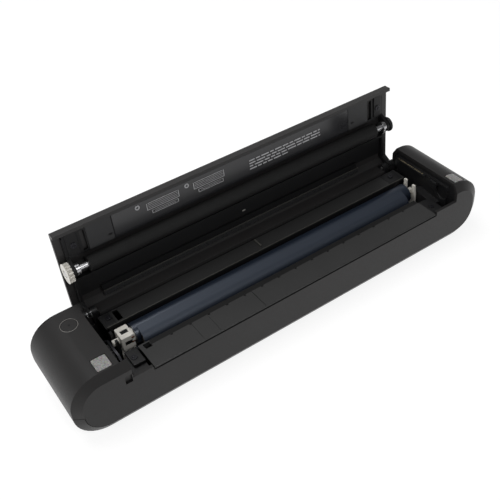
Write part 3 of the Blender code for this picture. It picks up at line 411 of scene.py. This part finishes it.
# The step behind the plate's rear edge is coloured black as painted shadow, the shade that the
# ribbon roll and head throw on it, and a thin black strip along the joint between the plate and
# the front panel is a painted shadow in that gap.
gap_painted_shadow = textured_plastic("gap_painted_shadow_black", "0B0B0B", 0.8, 0.4, 0.3, 0.1)
painted_shadow_black = textured_plastic("step_painted_shadow_black", "161616", 0.5, 0.5, 0.05, 0.2)
left, right = plate_low[0] / MM, plate_high[0] / MM
rear = plate_high[1] / MM
ledge_low, ledge_high = (left + 7.2, rear - 4.2, 29.9), (right - 0.3, rear - 0.2, 30.32)
# The black step lining is painted shadow behind the plate's rear edge.
ledge = shaped_block("plate_step_painted_shadow", ledge_low, ledge_high, 0.05)
put_in_use(ledge, painted_shadow_black, "guide_plate", stands_in=False)
# A thin black strip paints the shadow in the joint at the plate's front edge.
front_gap_shade = shaped_block("plate_front_painted_shadow", (left, -31.9, 28.9), (right, -31.5, 30.1), 0.1)
put_in_use(front_gap_shade, gap_painted_shadow, "guide_plate", stands_in=False)


# The shelves beside the plate: on the left a raised black pad takes the screw that holds the
# front of the bay; on the right the shelf stays low and dark.
black_oxide = textured_plastic("screw_black_oxide_steel", "26262A", 0.34, 0.4, 0.05)
black_oxide.node_tree.nodes["Principled BSDF"].inputs["Metallic"].default_value = 0.6


HEAD_HEIGHT = 0.7


def cross_head(name, x, y, top, radius, up=True):
    """A pan-head screw's head with a crossed recess, facing up or down."""
    side = 1.0 if up else -1.0
    centre = top - HEAD_HEIGHT / 2 * side
    head = flat_disc(name, x, y, centre, radius, HEAD_HEIGHT, 40)
    soften_edges(head, 0.2, 60.0)
    for wide, deep in ((0.62, 0.14), (0.14, 0.62)):
        reach = Vector((wide * radius, deep * radius))
        ends = (centre, top + 0.5 * side)
        groove_low = (x - reach.x, y - reach.y, min(ends))
        groove_high = (x + reach.x, y + reach.y, max(ends))
        cut_groove(head, groove_low, groove_high)
    return head


pad = shaped_block("left_screw_pad", (-112.2, -23.0, 28.6), (-104.4, -10.6, 30.5), 0.5)
put_in_use(pad, inner_abs, "left_shelf", stands_in=False)
left_head = cross_head("left_shelf_screw_head", -109.2, -17.5, 31.0, 2.0)
put_in_use(left_head, black_oxide, "left_shelf_screw")
x, y, _ = middle_of("right_shelf_screw")
right_head = cross_head("right_shelf_screw_head", x, y, 28.7, 1.7)
put_in_use(right_head, black_oxide, "right_shelf_screw")


# The rear deck: a flat moulded plate over the battery, screwed down through a pad at each
# end. A low rib stands across it, under the sheet's path.
deck = merged_copy("rear_deck", "rear_deck_plate")
deck_abs = textured_plastic("deck_abs_satin", "282828", 0.4, 0.5, 0.05, 0.28)
put_in_use(soften_edges(deck, 0.25), deck_abs, "rear_deck")
deck_low, deck_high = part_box("rear_deck")
deck_left, deck_right = deck_low[0] / MM, deck_high[0] / MM
deck_front, deck_back = deck_low[1] / MM, deck_high[1] / MM
DECK_TOP = 31.0
# The deck's front edge and its rib are coloured a paler grey: a painted highlight where their
# edges catch the light.
painted_highlight_abs = textured_plastic("abs_painted_highlight", "454440", 0.38, 0.4, 0.1, 0.4)
edge_low = (deck_left + 1.0, deck_front - 0.05, DECK_TOP - 0.25)
edge_high = (deck_right - 1.0, deck_front + 0.4, DECK_TOP + 0.05)
edge = shaped_block("deck_edge_painted_highlight", edge_low, edge_high, 0.1)
put_in_use(edge, painted_highlight_abs, "rear_deck", stands_in=False)
rib_low = (2.5, deck_front + 2.6, DECK_TOP + 0.2)
rib_high = (3.5, deck_back - 1.1, DECK_TOP + 1.1)
rib = shaped_block("deck_rib_painted_highlight", rib_low, rib_high, 0.2)
put_in_use(rib, painted_highlight_abs, "rear_deck", stands_in=False)
for side, x_low, x_high in (("left", -112.0, -104.6), ("right", 113.2, 125.2)):
    pad_low = (x_low, deck_front + 0.6, DECK_TOP - 0.3)
    pad_high = (x_high, deck_back - 0.5, DECK_TOP + 0.25)
    pad = shaped_block(side + "_deck_pad", pad_low, pad_high, 0.2)
    put_in_use(pad, inner_abs, "rear_deck", stands_in=False)
    node = side + "_deck_screw"
    x, y, _ = middle_of(node)
    head = cross_head(node + "_head", x, y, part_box(node)[1][2] / MM, 1.9)
    put_in_use(head, black_oxide, node)


# The white acetal pieces: the take-up hub, the fork and the platen's gear, moulded in natural
# acetal, which is faintly waxy and gathers dust in patches.
white_pom, _, _ = mottled("white_acetal_natural", "C9C4BA", "E9E7E1", 3.5, 5.0, 0.42)
for node in ("takeup_core", "platen_gear", "right_spool_fork"):
    put_in_use(soften_edges(merged_copy(node, node + "_acetal"), 0.12, 40.0), white_pom, node)


# The supply spool: a cardboard-thin core on white acetal ends. The left end is a square hub with a
# keyway in each face, lined black as painted shade in the recess; the right end tapers to the
# journal in the fork.
_, supply_y, supply_z = middle_of("supply_core")
film_low, film_high = (corner[0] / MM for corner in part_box("supply_film"))
core_low, core_high = (corner[0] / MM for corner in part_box("supply_core"))


def turned_rod(name, x_low, x_high, radius_low, radius_high, y, z):
    """A cone or cylinder along X, added at its size and place."""
    bpy.ops.mesh.primitive_cone_add(
        vertices=48,
        radius1=radius_low * MM,
        radius2=radius_high * MM,
        depth=(x_high - x_low) * MM,
        location=Vector(((x_low + x_high) / 2, y, z)) * MM,
        rotation=(0.0, math.pi / 2, 0.0),
    )
    return settled(name)


parts = [
    turned_rod("core_journal", core_low, film_low - 8.0, 2.1, 2.1, supply_y, supply_z),
    turned_rod("core_tube", film_low - 1.2, film_high + 0.6, 4.25, 4.25, supply_y, supply_z),
    turned_rod("core_taper", film_high + 0.5, film_high + 3.4, 5.6, 2.6, supply_y, supply_z),
    turned_rod("core_tip", film_high + 3.3, core_high, 2.0, 2.0, supply_y, supply_z),
]
HUB_HALF = 5.2
hub_low = (film_low - 9.4, supply_y - HUB_HALF, supply_z - HUB_HALF)
hub_high = (film_low - 1.0, supply_y + HUB_HALF, supply_z + HUB_HALF)
hub = shaped_block("square_hub", hub_low, hub_high, 0.5)
for side in (-1.0, 1.0):
    for along, across in (((0.0, side), (1.6, 0.6)), ((side, 0.0), (0.6, 1.6))):
        y, z = supply_y + along[0] * HUB_HALF, supply_z + along[1] * HUB_HALF
        keyway_low = (hub_low[0] + 2.0, y - across[0], z - across[1])
        keyway_high = (hub_high[0] - 1.6, y + across[0], z + across[1])
        cut_groove(hub, keyway_low, keyway_high)
bpy.ops.object.select_all(action="DESELECT")
for part in parts:
    part.select_set(True)
hub.select_set(True)
bpy.context.view_layer.objects.active = hub
bpy.ops.object.join()
hub.name = "supply_core_acetal"
hub.data.materials.clear()
put_in_use(soften_edges(hub, 0.1, 50.0), white_pom, "supply_core")
# Black strips at the bottom of the keyways paint the shade inside them.
for number, (dy, dz) in enumerate(((0.0, 4.75), (0.0, -4.75), (4.75, 0.0), (-4.75, 0.0)), 1):
    reach = (1.5, 0.1) if dy == 0.0 else (0.1, 1.5)
    y, z = supply_y + dy, supply_z + dz
    keyway_shade_low = (hub_low[0] + 2.1, y - reach[0], z - reach[1])
    keyway_shade_high = (hub_high[0] - 1.7, y + reach[0], z + reach[1])
    keyway_shade = shaped_block(f"keyway_painted_shade_{number}", keyway_shade_low, keyway_shade_high, 0.04)
    put_in_use(keyway_shade, black_ink_and_shade, "supply_core", stands_in=False)
# Two copper leaves on the hub let the printer read what the roll is.
copper, shader, _ = mottled("copper_leaf_tarnished", "6B3A22", "B4744C", 1.2, 4.0, 0.38)
shader.inputs["Metallic"].default_value = 0.9
hub_front = supply_y - HUB_HALF
for number, z in enumerate((supply_z + 3.0, supply_z - 0.6), 1):
    leaf_low = (hub_high[0] - 2.0, hub_front - 0.15, z - 0.6)
    leaf_high = (hub_high[0] - 0.1, hub_front + 0.2, z + 0.6)
    leaf = shaped_block(f"copper_leaf_{number}", leaf_low, leaf_high, 0.06)
    put_in_use(leaf, copper, "supply_core", stands_in=False)


# The ribbon: a polyester film with a pigment coat, wound tight, so the roll shows the bluish
# satin gloss of many layers and fine bands round it where the winding tension changed.
film, shader = new_material("ribbon_film_pigment_gloss")
place = add_node(film, "ShaderNodeTexCoord").outputs["Object"]
stretched = add_node(film, "ShaderNodeMapping", {"Vector": place, "Scale": (0.05, 1.0, 1.0)})
bands = {"Vector": stretched.outputs["Vector"], "Scale": 1 / (1.1 * MM), "Detail": 3.0}
winding = add_node(film, "ShaderNodeTexNoise", bands)
tones = {"Color1": hex_colour("10161F"), "Color2": hex_colour("17202E")}
tone = add_node(film, "ShaderNodeMixRGB", {"Fac": winding.outputs["Fac"], **tones})
film.node_tree.links.new(tone.outputs["Color"], shader.inputs["Base Color"])
shader.inputs["Roughness"].default_value = 0.33
shader.inputs["Specular IOR Level"].default_value = 1.0
shader.inputs["Specular Tint"].default_value = hex_colour("D8E1F0")
for node in ("supply_film", "takeup_film"):
    put_in_use(merged_copy(node, node + "_wound"), film, node)
# Off the roll the single film hangs a little slack, which dulls its gloss.
slack = film.copy()
slack.name = "ribbon_film_slack"
slack.node_tree.nodes["Principled BSDF"].inputs["Roughness"].default_value = 0.52
put_in_use(merged_copy("ribbon_web", "ribbon_web_slack"), slack, "ribbon_web")


# The platen roller: silicone rubber moulded on a steel shaft and ground true, which leaves
# fine rings round it and a dull black face that holds paper dust.
rubber, shader, _ = mottled("silicone_rubber_ground", "0C0C0C", "151515", 5.0, 6.0, 0.62)
place = add_node(rubber, "ShaderNodeTexCoord").outputs["Object"]
# Grinding rings about 0.8 mm apart: finer ones would not show.
wave = {"Vector": place, "Scale": 1 / (16 * MM), "Distortion": 1.0}
rings = add_node(rubber, "ShaderNodeTexWave", wave)
raise_bumps(rubber, shader, rings.outputs["Fac"], 0.05, 0.02)
shader.inputs["Specular IOR Level"].default_value = 0.25
for node in ("platen_rubber", "rubber_foot_1", "rubber_foot_2", "rubber_foot_3", "rubber_foot_4"):
    put_in_use(soften_edges(merged_copy(node, node + "_rubber"), 0.2, 50.0), rubber, node)
end_cap = soften_edges(merged_copy("platen_end_cap", "platen_end_cap_moulding"), 0.3)
put_in_use(end_cap, inner_abs, "platen_end_cap")


# Bare metal: turned shafts and bearings in bright steel, a folded head rail, springs, screws
# and the charging port's shell. Turning and rolling leave a fine streaky roughness.
def bare_metal(name, colour, roughness, streak_mm, along=(0.08, 1.0, 1.0)):
    """A metal whose roughness and tone vary in fine streaks along the way it was worked."""
    material, shader = new_material(name)
    place = add_node(material, "ShaderNodeTexCoord").outputs["Object"]
    worked = add_node(material, "ShaderNodeMapping", {"Vector": place, "Scale": along})
    noise = {"Vector": worked.outputs["Vector"], "Scale": 1 / (streak_mm * MM), "Detail": 4.0}
    streaks = add_node(material, "ShaderNodeTexNoise", noise)
    depth = streaks.outputs["Fac"]
    level = in_new_range(material, depth, 0.3, 0.7, roughness - 0.08, roughness + 0.08)
    base = Vector(hex_colour(colour)[:3])
    tones = {"Color1": (*(base * 0.8), 1.0), "Color2": (*base, 1.0)}
    tone = add_node(material, "ShaderNodeMixRGB", {"Fac": depth, **tones})
    links = material.node_tree.links
    links.new(tone.outputs["Color"], shader.inputs["Base Color"])
    links.new(level, shader.inputs["Roughness"])
    shader.inputs["Metallic"].default_value = 1.0
    return material


bright_steel = bare_metal("steel_turned_bright", "C6C6C8", 0.3, 0.8)
for node in (
    "platen_shaft",
    "left_platen_bearing",
    "right_platen_bearing",
    "left_hinge_pin",
    "right_hinge_pin",
    "head_rail",
    "motor",
    "usb_port",
    "case_screw_1",
    "case_screw_2",
    "case_screw_3",
    "case_screw_4",
):
    put_in_use(merged_copy(node, node + "_steel"), bright_steel, node)
for node in ("left_head_spring", "right_head_spring"):
    coil = put_in_use(merged_copy(node, node + "_steel"), bright_steel, node)
    coil_low, coil_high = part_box(node)
    height = coil_high[2] - coil_low[2]
    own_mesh(coil)
put_in_use(merged_copy("gear_plate", "gear_plate_steel"), black_oxide, "gear_plate")
extrusion = bare_metal("aluminium_extruded", "A9ABAE", 0.4, 0.7)
put_in_use(soften_edges(merged_copy("heatsink", "heatsink_extrusion"), 0.2), extrusion, "heatsink")
pinion_brass = bare_metal("brass_machined", "B8985C", 0.32, 0.5)
put_in_use(merged_copy("motor_pinion", "motor_pinion_brass"), pinion_brass, "motor_pinion")


# The train of gears under the left end: the drive and take-up gears are moulded in black
# filled nylon, dry and a little chalky at the teeth.
gear_nylon = textured_plastic("gear_nylon_filled", "202021", 0.5, 0.4, 0.08, 0.35)
for node in ("drive_gear", "takeup_gear"):
    put_in_use(soften_edges(merged_copy(node, node + "_nylon"), 0.08, 50.0), gear_nylon, node)


# The head: a bar of alumina under a dark glass glaze, which lies under the film. The glaze is
# glossy and brown, and drifts in tone where it flowed.
glaze, _, _ = mottled("alumina_glass_glaze", "35312D", "4A453F", 6.0, 2.0, 0.2)
head = soften_edges(merged_copy("print_head", "print_head_glazed"), 0.15, 50.0)
put_in_use(head, glaze, "print_head")


# The boards: glass-epoxy laminate under green solder mask, whose weave and copper areas show
# faintly through, and the battery in its blue shrink wrap, creased a little at the corners.
mask, shader = new_material("glass_epoxy_solder_mask")
place = add_node(mask, "ShaderNodeTexCoord").outputs["Object"]
tracks = add_node(mask, "ShaderNodeTexBrick", {"Vector": place, "Scale": 1 / (6 * MM)})
for socket, colour in (("Color1", "17482E"), ("Color2", "1C5537"), ("Mortar", "2A6B45")):
    tracks.inputs[socket].default_value = hex_colour(colour)
mask.node_tree.links.new(tracks.outputs["Color"], shader.inputs["Base Color"])
shader.inputs["Roughness"].default_value = 0.35
for node in ("main_board", "control_board"):
    put_in_use(soften_edges(merged_copy(node, node + "_laminate"), 0.1), mask, node)
wrap, shader, creases = mottled("battery_pvc_shrink_wrap", "2C4266", "3A5480", 7.0, 5.0, 0.38)
raise_bumps(wrap, shader, creases.outputs["Fac"], 0.3, 0.3)
put_in_use(merged_copy("battery_pack", "battery_pack_wrap"), wrap, "battery_pack")


# The lid: a curved cover in grained ABS, a shade paler than the case, over an inner frame of
# the smoother black, which carries the roller between two side plates.
lid_abs = textured_plastic("lid_abs_spark_grain", "2E2D2D", 0.42, 0.6, 0.12, 0.3)
lid_shell = soften_edges(merged_copy("lid_cover", "lid_cover_shell"), 0.35)
put_in_use(lid_shell, lid_abs, "lid_cover")
frame_abs = textured_plastic("lid_frame_abs_satin", "151516", 0.42, 0.5, 0.05, 0.25)
inner_frame = soften_edges(merged_copy("lid_frame", "lid_frame_moulding"), 0.2)
put_in_use(inner_frame, frame_abs, "lid_frame")
hinge_joint = next(joint for joint in frame["joints"] if joint["name"] == "lid_hinge")
hinge_at = Vector(hinge_joint["pos_m"])
LID_OPEN = math.radians(-93.0)
lid_swing = Matrix.Translation(hinge_at) @ Matrix.Rotation(LID_OPEN, 4, "X")
lid_swing = lid_swing @ Matrix.Translation(-hinge_at)


def on_lid(piece, material, node="lid_frame", stands_in=False):
    """Swings a piece that was laid out with the lid shut up to where the open lid stands."""
    piece.data.transform(lid_swing)
    return put_in_use(piece, material, node, stands_in)


# Raised mouldings on the lid's inner face: a block round each screw, the grey nylon liners
# either side of the printed panel and their latch ramps.
pad_grey = textured_plastic("liner_grey_nylon", "303031", 0.45, 0.5, 0.06, 0.3)
for name, low, high in (
    ("left_screw_block", (-114.2, -25.2, 39.7), (-106.9, -9.6, 40.75)),
    ("right_screw_block", (118.2, -25.2, 39.7), (124.3, -9.6, 40.75)),
):
    on_lid(shaped_block(name, low, high, 0.35), frame_abs)
for name, low, high in (
    ("left_liner", (-101.0, -24.9, 40.2), (-84.6, -8.3, 40.75)),
    ("right_liner", (95.6, -24.9, 40.2), (112.4, -8.3, 40.75)),
):
    on_lid(shaped_block(name, low, high, 0.12), pad_grey)
# Near the hinge a paler band carries the sheet round, with a paler strip along its front edge as a
# painted highlight, and a small pale block is a painted glint.
band_abs = textured_plastic("band_abs_polished", "2B2B2C", 0.3, 0.5, 0.03, 0.4)
BAND_LEFT, BAND_RIGHT = -100.6, 103.0
band_low, band_high = (BAND_LEFT, 24.6, 39.3), (BAND_RIGHT, 28.4, 40.4)
on_lid(shaped_block("paper_band", band_low, band_high, 0.3), band_abs)
# The paler strip along the band's front edge is a painted highlight.
band_highlight_low, band_highlight_high = (BAND_LEFT, 24.2, 39.1), (BAND_RIGHT, 24.7, 39.6)
band_highlight = shaped_block("paper_band_edge_highlight", band_highlight_low, band_highlight_high, 0.12)
on_lid(band_highlight, painted_highlight_abs)
# A small pale block paints a glint on the lid's inner face.
glint_block = shaped_block("painted_glint_block", (4.7, 15.4, 40.8), (7.1, 16.3, 41.3), 0.15)
on_lid(glint_block, painted_glow_and_glint)
for number, (x, y) in enumerate(((-87.0, -12.6), (99.0, -13.3)), 1):
    ramp_low, ramp_high = (x - 1.2, y - 0.5, 39.7), (x + 1.2, y + 0.5, 40.4)
    on_lid(shaped_block(f"latch_ramp_{number}", ramp_low, ramp_high, 0.15), frame_abs)
LID_SCREW_Y, LID_SCREW_FACE = -16.4, 39.1
for side in ("left", "right"):
    node = side + "_lid_screw"
    x = middle_of(node).x
    head = cross_head(node + "_head", x, LID_SCREW_Y, LID_SCREW_FACE, 2.0, up=False)
    on_lid(head, black_oxide, node, stands_in=True)


# The printed panel: a glossy black film stuck to the lid, screened in pale ink with two small
# rings, two line drawings of the way to load a sheet, and four rows of plain bars.
label, shader, ripples = mottled("polyester_label_gloss", "222224", "28282A", 16.0, 2.0, 0.16)
raise_bumps(label, shader, ripples.outputs["Fac"], 0.08, 0.2)
put_in_use(merged_copy("lid_label", "lid_label_film"), label, "lid_label")
ink, _, _ = mottled("screen_ink_pale", "8E8E90", "C4C4C6", 0.7, 3.0, 0.6)
PANEL_FACE = 39.98
INK_THICKNESS = 0.08
HINGE_Y = 29.3
PANEL_FOOT = 32.63
PANEL_SLOPE = 0.99863
RING_HEIGHT = 83.8
DRAWING_WIDTH = 22.5
ROWS, ROW_PITCH, FIRST_ROW = 4, 2.05, 81.6
TEXT_LEFT, TEXT_RIGHT, LAST_ROW_RIGHT = 13.8, 71.0, 44.0
WORD_GAP = 1.1


def panel_y(height):
    """Where along the shut lid a point of the panel lies, from its height on the open lid."""
    return HINGE_Y - (height - PANEL_FOOT) / PANEL_SLOPE


def ink_bar(name, x_low, x_high, z_low, z_high):
    """A thin bar of ink on the panel, between its corners on the open lid."""
    low = (x_low, panel_y(z_high), PANEL_FACE)
    high = (x_high, panel_y(z_low), PANEL_FACE + INK_THICKNESS)
    return on_lid(shaped_block(name, low, high, 0.015), ink, "lid_label")


for number, x in enumerate((-67.0, -32.6), 1):
    ring = flat_ring(f"panel_ring_{number}", x, panel_y(RING_HEIGHT), 40.03, 1.2, 0.42, 40, 8)
    on_lid(ring, ink, "lid_label")
for number, left in enumerate((-61.0, -28.0), 1):
    right = left + DRAWING_WIDTH
    strokes = (
        (left + 1.0, right - 1.0, 83.4, 83.7),
        (left + 1.0, right - 1.0, 82.3, 82.5),
        (left + 1.0, right - 1.0, 81.2, 81.4),
        (left + 1.0, right - 1.0, 80.1, 80.3),
        (left, left + 0.4, 79.2, 83.7),
        (right - 0.4, right, 79.2, 83.7),
        (left, right, 78.9, 79.2),
        (left + 3.0, right - 1.0, 77.6, 77.8),
        (left + 3.0, right - 1.0, 75.5, 75.8),
        (left + 3.0, left + 3.4, 75.5, 77.8),
        (right - 1.4, right - 1.0, 75.5, 77.8),
        (left + 5.0, right - 3.0, 76.5, 76.7),
    )
    for index, stroke in enumerate(strokes, 1):
        ink_bar(f"drawing_{number}_stroke_{index}", *stroke)
chance = random.Random(7)
for row in range(ROWS):
    height = FIRST_ROW - ROW_PITCH * row
    x = TEXT_LEFT
    last = TEXT_RIGHT if row < ROWS - 1 else LAST_ROW_RIGHT
    word = 0
    while x < last:
        word += 1
        length = chance.uniform(2.5, 7.5)
        name = f"notice_row_{row + 1}_bar_{word}"
        ink_bar(name, x, min(x + length, last), height - 0.55, height + 0.25)
        x += length + WORD_GAP
